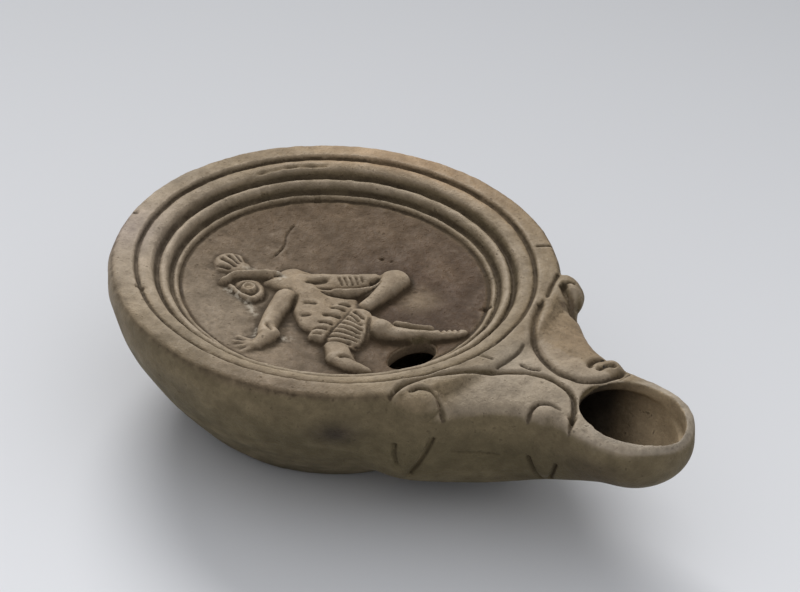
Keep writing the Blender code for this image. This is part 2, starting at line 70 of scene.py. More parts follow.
def through(keys, at):
    """A smooth curve through (place, value) keys, read at the places given."""
    place, value = np.array(keys, float).T
    slope = np.gradient(value, place)
    i = np.clip(np.searchsorted(place, at) - 1, 0, len(place) - 2)
    span = place[i + 1] - place[i]
    t = np.clip((at - place[i]) / span, 0, 1)
    start = (1 + 2 * t) * (1 - t) ** 2 * value[i] + t * (1 - t) ** 2 * span * slope[i]
    return start + t * t * (3 - 2 * t) * value[i + 1] - t * t * (1 - t) * span * slope[i + 1]


def top_height(radius):
    return height - through(top_keys, radius)


def belly_radius(z):
    below = np.clip((widest_z - z) / (widest_z - 1.0), 0, 1)
    return widest - (widest - foot) * below**1.57


def choose(piece):
    if bpy.context.mode != "OBJECT":
        bpy.ops.object.mode_set(mode="OBJECT")
    bpy.ops.object.select_all(action="DESELECT")
    piece.select_set(True)
    bpy.context.view_layer.objects.active = piece


def settle(piece):
    """Its place, turn and size go into its mesh."""
    choose(piece)
    bpy.ops.object.transform_apply(location=True, rotation=True, scale=True)
    return piece


def finish(piece, kind, **settings):
    """One modifier, set and applied."""
    choose(piece)
    modifier = piece.modifiers.new(kind.lower(), kind)
    for name, value in settings.items():
        setattr(modifier, name, value)
    bpy.ops.object.modifier_apply(modifier=modifier.name)


def points_of(piece):
    """The mesh's points in millimetres."""
    points = np.empty(len(piece.data.vertices) * 3, np.float32)
    piece.data.vertices.foreach_get("co", points)
    return points.reshape(-1, 3).astype(float) / mm


def move_points(piece, points):
    piece.data.vertices.foreach_set("co", (points * mm).astype(np.float32).ravel())
    piece.data.update()


def normals_of(piece):
    normals = np.empty(len(piece.data.vertices) * 3, np.float32)
    piece.data.vertices.foreach_get("normal", normals)
    return normals.reshape(-1, 3).astype(float)


def turned(name, outline, steps):
    """A solid spun from an outline of (radius, height) that starts and ends on the axis."""
    bpy.ops.object.select_all(action="DESELECT")
    bpy.ops.mesh.primitive_plane_add(size=mm, location=(0, 0, outline[0][1] * mm))
    piece = settle(bpy.context.object)
    piece.name = name
    bpy.ops.object.mode_set(mode="EDIT")
    bpy.ops.mesh.merge(type="CENTER")
    for (r0, z0), (r1, z1) in zip(outline, outline[1:]):
        bpy.ops.mesh.extrude_vertices_move(
            TRANSFORM_OT_translate={"value": ((r1 - r0) * mm, 0, (z1 - z0) * mm)}
        )
    bpy.ops.mesh.select_all(action="SELECT")
    bpy.ops.mesh.spin(steps=steps, angle=2 * math.pi, center=(0, 0, 0), axis=(0, 0, 1))
    bpy.ops.mesh.select_all(action="SELECT")
    bpy.ops.mesh.remove_doubles(threshold=0.001 * mm)
    bpy.ops.mesh.normals_make_consistent(inside=False)
    bpy.ops.object.mode_set(mode="OBJECT")
    return piece


radii = np.concatenate([np.linspace(0, 25, 14), np.linspace(25.3, 35.9, 54)])
outline = [(r, float(top_height(r))) for r in radii]
for a in np.radians(np.linspace(14, 90, 9)):
    outline.append((rim + 1.6 * math.sin(a) ** 0.77, widest_z + 4.0 * math.cos(a) ** 0.77))
outline += [(float(belly_radius(z)), z) for z in np.linspace(widest_z, 1.0, 22)[1:]]
outline += [(foot - 0.5, 0.3), (foot - 1.0, 0.0)]
outline += [(18.6 + 0.9 * math.cos(a), 0.5 * math.sin(a)) for a in np.linspace(0, math.pi, 9)]
outline += [(0.0, 0.0)]
lamp = turned("lamp", outline, 192)

# The nozzle: it leaves the body in two concave flanks, narrows to a waist and ends in a round
# head for the wick. It was half of the same mould, so it is one clay with the body; a circle is
# drawn out along the lamp and its rings are set to the nozzle's flat-topped, keeled section.
nozzle_start, head_start, wick_x, tip = 15.1, 58.2, 59.7, 70.3
nozzle_edge, head_keel, nozzle_rise = 22.0, 13.8, 4.1
half_width_keys = (
    (15.1, 25.5), (30.2, 23.7), (37.6, 17.5), (42.2, 13.4), (50.2, 10.0), (58.2, 10.2),
)
keel_keys = ((15.1, 1.0), (23.2, 0.9), (37.6, 3.6), (50.2, 8.9), (59.7, 13.8))
root_power, head_power, keel_power = 3.0, 6.0, 2.15


def superround(cosine, power):
    return np.sign(cosine) * np.abs(cosine) ** (2 / power)


def nozzle(name, inset, sides, stations):
    """The nozzle's outside, or with an inset the channel inside it."""
    bpy.ops.object.select_all(action="DESELECT")
    bpy.ops.mesh.primitive_circle_add(
        vertices=sides, radius=mm, fill_type="NGON", rotation=(0, math.pi / 2, 0)
    )
    piece = settle(bpy.context.object)
    piece.name = name
    bpy.ops.object.mode_set(mode="EDIT")
    for _ in range(stations):
        bpy.ops.mesh.extrude_region_move(TRANSFORM_OT_translate={"value": (mm, 0, 0)})
    bpy.ops.object.mode_set(mode="OBJECT")
    points = points_of(piece)
    share = np.sin(np.rint(points[:, 0]) / stations * math.pi / 2) ** 1.1
    x = nozzle_start + (tip - nozzle_start) * share
    angle = np.arctan2(points[:, 2], points[:, 1])
    c, s = np.cos(angle), np.sin(angle)
    head = np.clip((x - head_start) / (tip - head_start), 0, 1)
    half = through(half_width_keys, np.minimum(x, head_start)) * np.sqrt(1 - head**2.2)
    end = np.clip((x - wick_x) / (tip - wick_x), 0, 1)
    keel = through(keel_keys, np.minimum(x, wick_x))
    head_floor = nozzle_edge - (nozzle_edge - head_keel) * np.sqrt(1 - end**2)
    keel = np.where(x > wick_x, head_floor, keel)
    roof = nozzle_edge + np.maximum(nozzle_rise * np.sqrt(1 - end**6) - inset, 0.2)
    power = np.interp(x, (widest, head_start), (root_power, head_power))
    floor_z = np.minimum(keel + inset, nozzle_edge - 0.2)
    half = np.maximum(half - inset, 0)
    upper = s > 0
    y = half * np.where(upper, superround(c, power), superround(c, keel_power))
    z = np.where(
        upper,
        nozzle_edge + (roof - nozzle_edge) * superround(s, power),
        nozzle_edge + (nozzle_edge - floor_z) * superround(s, keel_power),
    )
    under_rings = upper & (np.hypot(x, y) < 34.2)
    z = np.where(under_rings, np.minimum(z, 20.9 - inset), z)
    x = nozzle_start + (tip - inset - nozzle_start) * share
    move_points(piece, np.stack([x, y, z], 1))
    bpy.ops.object.mode_set(mode="EDIT")
    bpy.ops.mesh.select_all(action="SELECT")
    bpy.ops.mesh.remove_doubles(threshold=0.01 * mm)
    bpy.ops.mesh.normals_make_consistent(inside=False)
    bpy.ops.object.mode_set(mode="OBJECT")
    return piece


def joined(pieces):
    choose(pieces[0])
    for piece in pieces[1:]:
        piece.select_set(True)
    bpy.ops.object.join()
    return pieces[0]


def weighed(piece, name, weights):
    """A vertex group with the weights given, in steps of a tenth."""
    group = piece.vertex_groups.new(name=name)
    tenths = np.rint(np.asarray(weights, float) * 10).astype(int)
    for tenth in range(1, 11):
        group.add(np.flatnonzero(tenths == tenth).tolist(), tenth / 10, "REPLACE")
    return name


def soften_seams(piece, passes):
    """The corners under the top run into each other as pressed clay does."""
    x, y, z = points_of(piece).T
    low = np.clip((25.6 - z) / 2.5, 0, 1) * (x > 7.5) * (z > 0.1)
    edge = np.where(y < 0, 0.7, 0.2) * np.clip((np.hypot(x, y) - 38.4) / 2, 0, 1)
    edge *= np.clip((54.5 - x) / 3, 0, 1)
    edge *= np.clip((np.hypot(x - 31.7, np.abs(y) - 20.9) - 4) / 3, 0, 1)
    edge *= np.clip((np.hypot(x - 50.4, np.abs(y) - 7.9) - 2) / 3, 0, 1)
    head = 0.3 * np.clip((x - 53) / 3, 0, 1)
    seams = weighed(piece, "seams", np.maximum(np.maximum(low, edge), head))
    finish(piece, "SMOOTH", factor=0.5, iterations=passes, vertex_group=seams)


lamp = joined([lamp, nozzle("nozzle", 0.0, 72, 60)])
finish(lamp, "REMESH", mode="VOXEL", voxel_size=0.5 * mm)
soften_seams(lamp, 60)

# The volutes: scrolls that end in a knob at the nozzle's root and a small one beside the wick
# hole. They were cut into the mould, and the knobs are small balls of the same clay that stand
# out over the side wall.
knobs = []
for name, centre, sizes, turn, top in (
    ("far_volute", (31.9, 20.6), (4.5, 2.9, 3.0), -56.6, 27.5),
    ("near_volute", (32.2, -19.3), (4.0, 2.5, 2.4), 56.6, 26.9),
    ("far_small_volute", (50.4, 7.7), (3.0, 2.2, 2.6), -20.0, 26.6),
    ("near_small_volute", (50.2, -7.5), (2.6, 2.1, 2.0), 20.0, 26.4),
):
    bpy.ops.object.select_all(action="DESELECT")
    bpy.ops.mesh.primitive_uv_sphere_add(segments=48, ring_count=32, radius=1.0)
    knob = bpy.context.object
    knob.name = name
    knob.scale = [size * mm for size in sizes]
    knob.rotation_euler = (0, 0, math.radians(turn))
    knob.location = (centre[0] * mm, centre[1] * mm, (top - sizes[2]) * mm)
    knobs.append(settle(knob))
lamp = joined([lamp] + knobs)
finish(lamp, "REMESH", mode="VOXEL", voxel_size=0.4 * mm)
soften_seams(lamp, 130)

# The hollow: an oil chamber under the disc and a channel in the nozzle, with the wick hole cut
# through at the tip and the filling hole punched through the disc beside the figure's legs.
wall, nozzle_wall, disc_thickness, chamber_floor = 3.4, 2.0, 2.6, 3.2
filling_at, filling_half = (21.4, -6.8), (3.1, 5.0)
wick_at, wick_half = (59.8, 0.0), (8.9, 7.5)
cutter_top = 34.0
chamber = [(r, float(top_height(r)) - disc_thickness) for r in (0.0, 8.0, 16.0, 24.8)]
chamber += [(29.6, 22.4)]
chamber += [(float(belly_radius(z)) - wall, z) for z in np.linspace(21.4, 4.2, 10)]
chamber += [(19.8, chamber_floor), (0.0, chamber_floor)]
holes = [turned("chamber", chamber, 96), nozzle("channel", nozzle_wall, 48, 30)]
for name, centre, sizes, low in (
    ("filling_hole", filling_at, filling_half, 16.0),
    ("wick_hole", wick_at, wick_half, nozzle_edge),
):
    bpy.ops.object.select_all(action="DESELECT")
    bpy.ops.mesh.primitive_cylinder_add(vertices=64, radius=1.0, depth=1.0)
    hole = bpy.context.object
    hole.name = name
    hole.scale = (sizes[0] * mm, sizes[1] * mm, (cutter_top - low) * mm)
    hole.location = (centre[0] * mm, centre[1] * mm, (cutter_top + low) / 2 * mm)
    holes.append(settle(hole))
finish(holes[1], "REMESH", mode="VOXEL", voxel_size=0.4 * mm)
for hole in holes:
    finish(lamp, "BOOLEAN", operation="DIFFERENCE", solver="MANIFOLD", object=hole)
    bpy.data.objects.remove(hole)
finish(lamp, "REMESH", mode="VOXEL", voxel_size=0.22 * mm)

# Where the hollows meet, the cuts leave crumbs inside the wall. All that isn't joined to the
# outermost point of the rim is deleted.
outermost = int(np.argmin(points_of(lamp)[:, 0]))
choose(lamp)
bpy.ops.object.mode_set(mode="EDIT")
bpy.ops.mesh.select_all(action="DESELECT")
bpy.ops.object.mode_set(mode="OBJECT")
lamp.data.vertices[outermost].select = True
bpy.ops.object.mode_set(mode="EDIT")
bpy.ops.mesh.select_linked()
bpy.ops.mesh.select_all(action="INVERT")
bpy.ops.mesh.delete(type="VERT")
bpy.ops.object.mode_set(mode="OBJECT")


def from_filling_hole(x, y):
    """How far points are from the filling hole's middle, in shares of its half sizes."""
    return np.hypot((x - filling_at[0]) / filling_half[0], (y - filling_at[1]) / filling_half[1])


# The lips of both holes are rounded, as a tool leaves them in damp clay.
x, y, z = points_of(lamp).T
wick_edge = np.hypot((x - wick_at[0]) / wick_half[0], y / 7.2)
filling_edge = from_filling_hole(x, y)
lips = (wick_edge < 1.3) & (wick_edge > 0.6) & (z > 19) & (x > 45)
lips |= (filling_edge < 1.3) & (z > 16)
finish(lamp, "SMOOTH", factor=0.5, iterations=25, vertex_group=weighed(lamp, "lips", lips))

# The rings, the scrolls and the relief, as a map of rises and cuts seen from above. The potter
# cut them into the mould, so the edges are soft and the lines have lost some of their depth.
step = 0.1
plan_x, plan_y = np.meshgrid(np.arange(-38.5, 72.0, step), np.arange(-38.5, 38.6, step))
plan_radius = np.hypot(plan_x, plan_y)
rises = np.zeros(plan_x.shape)
cuts = np.zeros(plan_x.shape)


def bent(path, count=8):
    """A smooth line through the points of a path."""
    if len(path) < 3:
        return path
    at = np.arange(len(path))
    fine = np.linspace(0, len(path) - 1, (len(path) - 1) * count + 1)
    columns = [through(list(zip(at, column)), fine) for column in zip(*path)]
    return list(zip(*columns))


def around(path, reach):
    """The window of the plan around a path, with each place's distance from it and share along it."""
    xs, ys = np.array(path).T
    rows = slice(
        max(int((ys.min() - reach - plan_y[0, 0]) / step), 0),
        max(int((ys.max() + reach - plan_y[0, 0]) / step) + 2, 0),
    )
    columns = slice(
        max(int((xs.min() - reach - plan_x[0, 0]) / step), 0),
        max(int((xs.max() + reach - plan_x[0, 0]) / step) + 2, 0),
    )
    x, y = plan_x[rows, columns], plan_y[rows, columns]
    nearest, along = np.full(x.shape, 1e9), np.zeros(x.shape)
    for i, ((ax, ay), (bx, by)) in enumerate(zip(path, path[1:])):
        dx, dy = bx - ax, by - ay
        t = np.clip(((x - ax) * dx + (y - ay) * dy) / (dx * dx + dy * dy + 1e-9), 0, 1)
        distance = np.hypot(x - ax - t * dx, y - ay - t * dy)
        closer = distance < nearest
        nearest = np.where(closer, distance, nearest)
        along = np.where(closer, (i + t) / (len(path) - 1), along)
    return (rows, columns), nearest, along


def groove(path, half, depth, ends=0.12):
    """A line cut along a path, which runs out at its ends."""
    window, distance, along = around(bent(path), 3 * half)
    taper = np.clip(np.minimum(along, 1 - along) / ends, 0.15, 1) ** 0.5
    cut = depth * taper * np.exp(-((distance / (half * (0.5 + 0.5 * taper))) ** 2))
    cuts[window] = np.maximum(cuts[window], cut)


def limb(path, halves, heights, power=0.5):
    """A rounded rise along a path."""
    window, distance, along = around(bent(path), max(halves))
    half = np.interp(along, np.linspace(0, 1, len(halves)), halves)
    crest = np.interp(along, np.linspace(0, 1, len(heights)), heights)
    rise = crest * np.clip(1 - (distance / half) ** 2, 0, 1) ** power
    rises[window] = np.maximum(rises[window], rise)


def blurred(layer, radius):
    """The layer smoothed over a radius in millimetres."""
    reach = int(3 * radius / step) + 1
    weights = np.exp(-((np.arange(-reach, reach + 1) * step / radius) ** 2) / 2)
    weights /= weights.sum()
    for axis in (0, 1):
        padded = np.pad(layer, [(reach, reach) if a == axis else (0, 0) for a in (0, 1)], "edge")
        size = layer.shape[axis]
        layer = sum(
            weight * np.take(padded, range(i, i + size), axis) for i, weight in enumerate(weights)
        )
    return layer


# The fallen fighter on the disc, feet towards the nozzle, helmet on, one arm propped on the
# ground: first the limbs as rounded rises, then the folds, straps and fingers as cuts, and last
# the round eye of the helmet.
for path, halves, heights, power in (
    (
        ((-7.6, -1.5), (-2.4, -1.7), (2.2, -3.3), (4.8, -5.4)),
        (2.6, 4, 4.4, 4.0), (0.9, 1.2, 1.3, 1.3), 0.35,
    ),
    (
        ((-7.1, -2.6), (-3.4, -3.8), (0.8, -6.3), (4.3, -8.4)),
        (1.9, 3.1, 4, 4.3), (1.2, 1.6, 1.65, 1.6), 0.4,
    ),
    (((-9.3, -4.8), (-6.4, -4.2)), (1.9, 2.3), (1.1, 1.4), 0.5),
    (((-5.6, -2.2), (-2.5, -3.4)), (1.8, 2), (1.4, 1.8), 0.5),
    (((-11.6, -8.6), (-10.2, -9.4), (-8.6, -9.6)), (2.2, 2.5, 2.0), (0.9, 1.05, 0.9), 0.4),
    (
        ((-13.6, -10.9), (-10.9, -11.6), (-8.9, -11.9), (-7.9, -11.0)),
        (0.4, 0.5, 0.5, 0.5), (0.7, 1.1, 1.1, 0.9), 0.5,
    ),
    (
        ((-15.0, -11.3), (-14.2, -8.9), (-12.6, -6.7), (-10.7, -4.8), (-9.5, -3.0)),
        (0.5, 0.9, 0.95, 0.9, 0.5), (1.4, 1.9, 2, 2, 1.5), 0.5,
    ),
    (((-16.1, -5.9), (-17.4, -5.9)), (2.2, 3.0), (0.8, 0.95), 0.45),
    (
        ((-4.5, -7.4), (-2.9, -12.2), (-1.2, -16.0), (0.2, -18.0)),
        (2.1, 1.75, 1.6, 1.7), (1.9, 2.0, 1.9, 1.8), 0.45,
    ),
    (((0.4, -17.4), (0.8, -19.6), (0.9, -21.6)), (1.75, 1.5, 1.1), (1.8, 1.5, 1), 0.5),
    (((0.9, -21.5), (0.1, -22.3)), (1.2, 1.2), (0.9, 0.65), 0.6),
    (((-0.4, -21.2), (-3.0, -21.4)), (0.6, 0.42), (0.65, 0.4), 0.6),
    (((-0.3, -22.0), (-2.5, -23.1)), (0.6, 0.42), (0.65, 0.4), 0.6),
    (((0.2, -22.5), (-1.2, -24.1)), (0.55, 0.42), (0.65, 0.4), 0.6),
    (((0.8, -22.8), (0.5, -24.6)), (0.5, 0.4), (0.6, 0.35), 0.6),
    (
        ((-6.3, -1.5), (-3.1, 0.6), (0.4, 3.2), (3.0, 6.6)),
        (1.5, 2.1, 2.2, 1.6), (1.4, 1.6, 1.75, 1.5), 0.5,
    ),
    (
        ((0.4, -0.8), (3.0, 0.9), (4.4, 3.2), (5.0, 5.6)),
        (0.75, 1, 1, 0.7), (1.6, 1.9, 1.9, 1.6), 0.5,
    ),
    (
        ((6.0, 8.3), (6.5, 6.2), (6.8, 3.9), (6.9, 1.7), (6.8, -0.3)),
        (2.75, 2.2, 1.65, 1.4, 1.3), (2.1, 2.2, 2.1, 1.95, 1.75), 0.35,
    ),
    (((3.9, -2.6), (4.9, -6.8), (6.7, -12.8)), (1.6, 1.9, 1.7), (1.6, 1.75, 1.6), 0.45),
    (((8.0, -3.6), (9.5, -6.9), (10.7, -10.6)), (2.3, 3.3, 3.1), (1.7, 1.9, 1.8), 0.35),
    (
        (
            (10.4, -3.8), (13.3, -4.6), (15.7, -4.2), (18.3, -2.6), (20.8, -0.7), (22.9, 1.3),
            (24.1, 3.2),
        ),
        (1.7, 2.1, 1.45, 1.0, 0.9, 1.1, 0.9), (1.7, 2.4, 2.0, 1.8, 1.6, 1.5, 0.9), 0.35,
    ),
    (((13.2, -4.7), (13.7, -4.7)), (2.0, 2.0), (2.8, 2.8), 0.5),
    (
        ((13.6, -1.3), (16.0, -1.2), (18.0, -0.5), (19.7, 0.8)),
        (0.45, 0.5, 0.5, 0.45), (1.2, 1.8, 1.8, 1.5), 0.5,
    ),
    (((10.7, -13.0), (12.9, -14.9)), (2.1, 2.4), (1.7, 1.95), 0.4),
    (((13.5, -15.8), (16.2, -16.4), (19.0, -15.7)), (2.3, 1.7, 0.8), (1.95, 1.6, 0.9), 0.4),
):
    limb(path, halves, heights, power)
rises = blurred(rises, 0.17)
for path, half, depth in (
    (((-14.5, -10.4), (-12.9, -8.0), (-11.3, -6.3), (-9.4, -4.8)), 0.45, 0.9),
    (((-18.4, -8.4), (-16.3, -7.4)), 0.3, 0.55),
    (((-19.5, -6.4), (-15.9, -6.4)), 0.34, 0.65),
    (((-19.3, -4.9), (-16.1, -5.4)), 0.34, 0.65),
    (((-18.5, -3.7), (-16.2, -4.6)), 0.3, 0.55),
    (((-17.3, -3.1), (-15.8, -4.1)), 0.28, 0.45),
    (((-9.6, -4.4), (-9.0, -3.1)), 0.35, 0.6),
    (((-8.7, -6.6), (-7.3, -9.2), (-7.2, -11.3), (-7.9, -12.6)), 0.6, 1.0),
    (((-12.4, -10.6), (-11.6, -11.2)), 0.3, 0.4),
    (((-3.0, -6.3), (-1.4, -10.0), (-0.2, -13.2), (1.6, -15.6)), 0.42, 1.0),
    (((-1.1, -16.8), (0.9, -17.6)), 0.42, 0.5),
    (((-0.9, -7.4), (1.1, -6.0)), 0.4, 0.4),
    (((0.8, -10.1), (2.3, -9.2)), 0.4, 0.4),
    (((-4.5, -2.5), (-1.9, 0.7)), 0.45, 0.65),
    (((-1.2, 2.4), (0.6, 1.3)), 0.26, 0.55),
    (((-0.6, 3.0), (1.2, 1.9)), 0.26, 0.55),
    (((0.1, 3.7), (1.9, 2.5)), 0.26, 0.55),
    (((0.8, 4.4), (2.4, 3.2)), 0.26, 0.55),
    (((1.6, 4.9), (2.7, 4.1)), 0.26, 0.5),
    (((3.4, 4.9), (4.3, 6.7)), 0.36, 0.5),
    (((-2.0, -2.2), (1.3, 1.0), (3.5, 3.6), (4.5, 6.2)), 0.34, 0.8),
    (((-0.8, -2.3), (2.5, -0.9), (4.3, 2.0), (5.1, 5.4)), 0.48, 1.1),
    (((5.9, -3.1), (6.8, -6.5), (7.5, -10.1), (8.2, -12.9), (8.8, -15.0)), 0.24, 0.4),
    (((3.6, -3.7), (5.2, -2.4)), 0.32, 0.75),
    (((3.4, -5.3), (5.5, -4.2)), 0.36, 0.85),
    (((3.7, -7.8), (6.3, -6.4)), 0.38, 0.9),
    (((4.7, -10.1), (6.7, -8.9)), 0.34, 0.8),
    (((5.1, -12.0), (7.1, -10.8)), 0.34, 0.75),
    (((5.7, -13.4), (7.4, -12.6)), 0.26, 0.6),
    (((6.2, -14.4), (7.8, -14.0)), 0.26, 0.55),
    (((6.5, -3.3), (9.9, -4.8)), 0.32, 0.85),
    (((6.6, -4.5), (9.8, -5.8)), 0.3, 0.8),
    (((6.9, -6.0), (10.9, -6.5)), 0.32, 0.85),
    (((7.2, -7.5), (11.9, -7.5)), 0.34, 0.9),
    (((7.6, -9.0), (12.2, -8.5)), 0.34, 0.9),
    (((7.9, -10.5), (12.9, -9.3)), 0.34, 0.9),
    (((8.1, -12.0), (13.1, -10.3)), 0.34, 0.9),
    (((8.7, -13.5), (12.8, -11.6)), 0.36, 0.9),
    (((9.8, -3.1), (11.3, -5.4), (12.8, -8.0), (13.5, -10.5), (13.0, -12.0)), 0.26, 0.6),
    (((14.1, -2.4), (16.2, -2.2), (18.1, -1.4), (19.6, 0.0)), 0.36, 1.0),
    (((20.9, 1.0), (22.3, 0.1)), 0.24, 0.55),
    (((21.4, 1.7), (22.8, 0.9)), 0.24, 0.55),
    (((22.0, 2.5), (23.4, 1.6)), 0.24, 0.5),
    (((22.6, 3.4), (24.0, 2.3)), 0.24, 0.5),
    (((22.4, 2.6), (24.3, 4.2)), 0.22, 0.4),
    (((13.9, -16.8), (15.2, -15.6), (16.9, -15.2)), 0.36, 0.6),
    (((12.9, -12.2), (14.6, -13.9)), 0.3, 0.5),
):
    groove(path, half, depth)
figure_cuts = cuts * np.clip(rises / 0.7, 0, 1)
eye = np.hypot(plan_x + 10.4, plan_y + 9.9)
figure = blurred(rises - figure_cuts, 0.1) + 0.5 * np.exp(-(((eye - 0.95) / 0.28) ** 2))
figure += 0.25 * np.exp(-((eye / 0.4) ** 2)) - 0.4 * np.exp(-(((eye - 1.55) / 0.3) ** 2))
on_disc = np.clip((disc - plan_radius) / 0.6, 0, 1)
relief = figure * on_disc

# The scrolls' grooves on the shoulder, from a knob at the nozzle's root in one long sweep to the
# small curl beside the wick hole, and the arc that closes the body's shoulder off from the nozzle.
cuts = np.zeros(plan_x.shape)
for path, half, depth in (
    (((29.0, 22.6), (29.6, 21.0), (30.5, 18.5), (31.7, 15.6)), 0.35, 0.7),
    (
        (
            (31.8, 14.4), (32.4, 12.6), (33.9, 9.3), (36.2, 5.7), (39.4, 3.0), (43.9, 1.0),
            (46.9, 1.0), (49.2, 1.6), (50.9, 3.6), (52.2, 6.2), (52.6, 8.2),
        ),
        0.6, 1.1,
    ),
    (
        (
            (29.1, -22.8), (29.0, -20.3), (29.6, -17.3), (30.8, -14.5), (32.8, -11.8), (35.8, -7.8),
            (38.3, -5.0), (40.8, -2.9), (43.8, -1.7), (46.8, -1.7), (49.8, -2.6), (51.8, -4.6),
            (53.6, -7.6), (54.6, -9.8),
        ),
        0.4, 1.5,
    ),
    (
        ((30.8, -20.0), (31.4, -18.4), (33.0, -17.6), (34.6, -17.7), (36.2, -18.2), (37.5, -18.8)),
        0.4, 0.9,
    ),
    (((31.6, 20.4), (33.1, 19.0), (34.7, 18.2), (36.9, 16.9)), 0.65, 1.5),
    (((31.7, 20.2), (32.3, 21.2), (33.2, 21.5)), 0.35, 0.6),
    (
        ((48.8, -12.6), (47.4, -10.9), (46.9, -8.9), (47.4, -7.6), (48.9, -6.9), (51.0, -7.3)),
        0.4, 0.9,
    ),
    (((47.7, 5.4), (47.1, 6.4), (47.1, 7.8), (48.0, 9.2)), 0.45, 1.0),
    (((48.9, 5.7), (49.5, 7.0), (51.1, 7.9)), 0.42, 0.8),
    (((53.4, 8.6), (53.2, 5.6)), 0.2, 0.45),
    (((36.9, -5.6), (37.2, -2.8), (37.2, 0.2), (36.6, 2.6)), 0.18, 0.5),
    (((39.0, -1.6), (40.8, -1.4), (42.4, -0.6)), 0.35, 0.6),
    (((33.0, -5.0), (35.6, -4.3)), 0.22, 0.4),
    (((31.4, 13.2), (32.6, 13.5)), 0.3, 0.8),
):
    groove(path, half, depth, ends=0.06)
off_disc = np.clip((plan_radius - 33.0) / 0.8, 0, 1)
relief -= blurred(cuts, 0.1) * off_disc
for (ax, ay), reach, lift in (
    ((34.0, 20.1), 1.5, 0.5), ((34.0, -19.4), 1.6, 0.25), ((50.0, 8.6), 1.3, 0.3),
):
    relief += lift * np.exp(-(((plan_x - ax) ** 2 + (plan_y - ay) ** 2) / reach**2))


def sampled(layer, x, y):
    """A plan layer read at points, between its places."""
    u = np.clip((x - plan_x[0, 0]) / step, 0, plan_x.shape[1] - 1.001)
    v = np.clip((y - plan_y[0, 0]) / step, 0, plan_y.shape[0] - 1.001)
    i, j = u.astype(int), v.astype(int)
    u, v = u - i, v - j
    low = layer[j, i] * (1 - u) + layer[j, i + 1] * u
    high = layer[j + 1, i] * (1 - u) + layer[j + 1, i + 1] * u
    return low * (1 - v) + high * v


# The hand's marks and the years': a pressed wall is never quite even, the edges are nicked and
# the rings chipped, and short strokes were cut below the volutes.
chance = np.random.default_rng(11)
mottle = blurred(chance.normal(size=plan_x.shape), 0.7)
mottle /= mottle.std()
for path, half, depth in (
    (((-34.7, -10.9), (-34.7, -10.2)), 0.5, 0.4),
    (((-20.5, -27.0), (-19.2, -26.0)), 0.6, 0.5),
    (((21.7, 26.3), (23.3, 28.6)), 0.25, 0.4),
    (((-25.4, 11.2), (-24.5, 12.4)), 0.6, 0.6),
    (((-18.9, 17.8), (-18.0, 18.7)), 0.5, 0.5),
    (((22.4, 11.0), (23.4, 12.3)), 0.6, 0.5),
    (((-17.2, 10.7), (-16.3, 7.4), (-14.5, 4.2), (-13.9, 0.3)), 0.16, 0.3),
    (((-0.4, 12.7), (0.2, 13.1)), 0.35, 0.35),
    (((1.2, 13.2), (1.7, 13.5)), 0.3, 0.3),
    (((-28.4, 12.0), (-25.0, 18.4), (-20.0, 23.7)), 0.3, 0.2),
    (((52.6, -7.4), (54.3, -7.2)), 0.5, 0.7),
    (((53.2, -5.6), (52.6, -4.4)), 0.4, 0.6),
    (((54.6, -8.2), (57.0, -8.8), (60.0, -8.9), (63.5, -8.4), (66.4, -7.0)), 1.0, 0.12),
):
    window, distance, along = around(bent(path), 3 * half)
    ragged = np.clip(1 + 0.7 * mottle[window], 0, 2)
    worn = depth * ragged * np.exp(-((distance / half) ** 2))
    relief[window] -= worn * np.clip(np.minimum(along, 1 - along) / 0.1, 0.3, 1)
relief += 0.035 * mottle + 0.02 * blurred(chance.normal(size=plan_x.shape), 0.25) / 0.113


def strokes(points, normals):
    """The ribs and the cut strokes on the nozzle's side walls, seen from the side."""
    x, _, z = points.T
    change = np.zeros(len(x))
    for path, half, depth in (
        (((34.2, 25.1), (34.3, 22.0), (33.2, 16.9), (30.5, 11.0)), 1.4, 0.5),
        (((49.4, 23.8), (50.0, 19.9), (49.7, 13.8)), 1.2, 0.35),
        (((30.6, 17.6), (30.3, 15.2), (30.3, 13.0)), 0.3, -0.6),
        (((35.3, 19.2), (34.5, 16.6), (33.0, 13.2), (31.2, 10.2)), 0.34, -0.8),
        (((47.6, 16.6), (48.1, 13.7), (48.1, 10.8)), 0.3, -0.65),
        (((52.1, 16.6), (51.1, 14.2), (49.5, 11.0)), 0.3, -0.7),
        (((37.7, 16.3), (43.1, 15.9)), 0.25, -0.2),
    ):
        nearest = np.full(len(x), 1e9)
        for (ax, az), (bx, bz) in zip(bent(path), bent(path)[1:]):
            dx, dz = bx - ax, bz - az
            t = np.clip(((x - ax) * dx + (z - az) * dz) / (dx * dx + dz * dz + 1e-9), 0, 1)
            nearest = np.minimum(nearest, np.hypot(x - ax - t * dx, z - az - t * dz))
        change += depth * np.exp(-((nearest / half) ** 2))
    return change * (np.abs(normals[:, 1]) > 0.25) * (x > 26)


def inside_of(points, normals):
    """Which points lie on the walls of the hollow, facing its middle line."""
    x, y, z = points.T
    in_nozzle = x > 30
    middle_x = np.where(in_nozzle, np.clip(x, 0, wick_at[0]), 0)
    middle = np.stack([middle_x, 0 * y, np.where(in_nozzle, 20, 13)], 1)
    facing = ((points - middle) * normals).sum(1) < 0
    radius = np.hypot(x, y)
    flank = np.interp(np.minimum(x, head_start), *np.array(half_width_keys).T) - 0.8
    keel = np.interp(x, *np.array(keel_keys).T) + 0.8
    channel = (np.abs(y) < flank) & (z > keel) & (z < 26) & in_nozzle
    chamber = (radius < belly_radius(z) - 2.2) & (z < top_height(radius) - 1.5) & (z > 2.6)
    filling = (from_filling_hole(x, y) < 1.1) & (z < top_height(radius) - 0.3)
    return (facing & (channel | chamber)) | filling


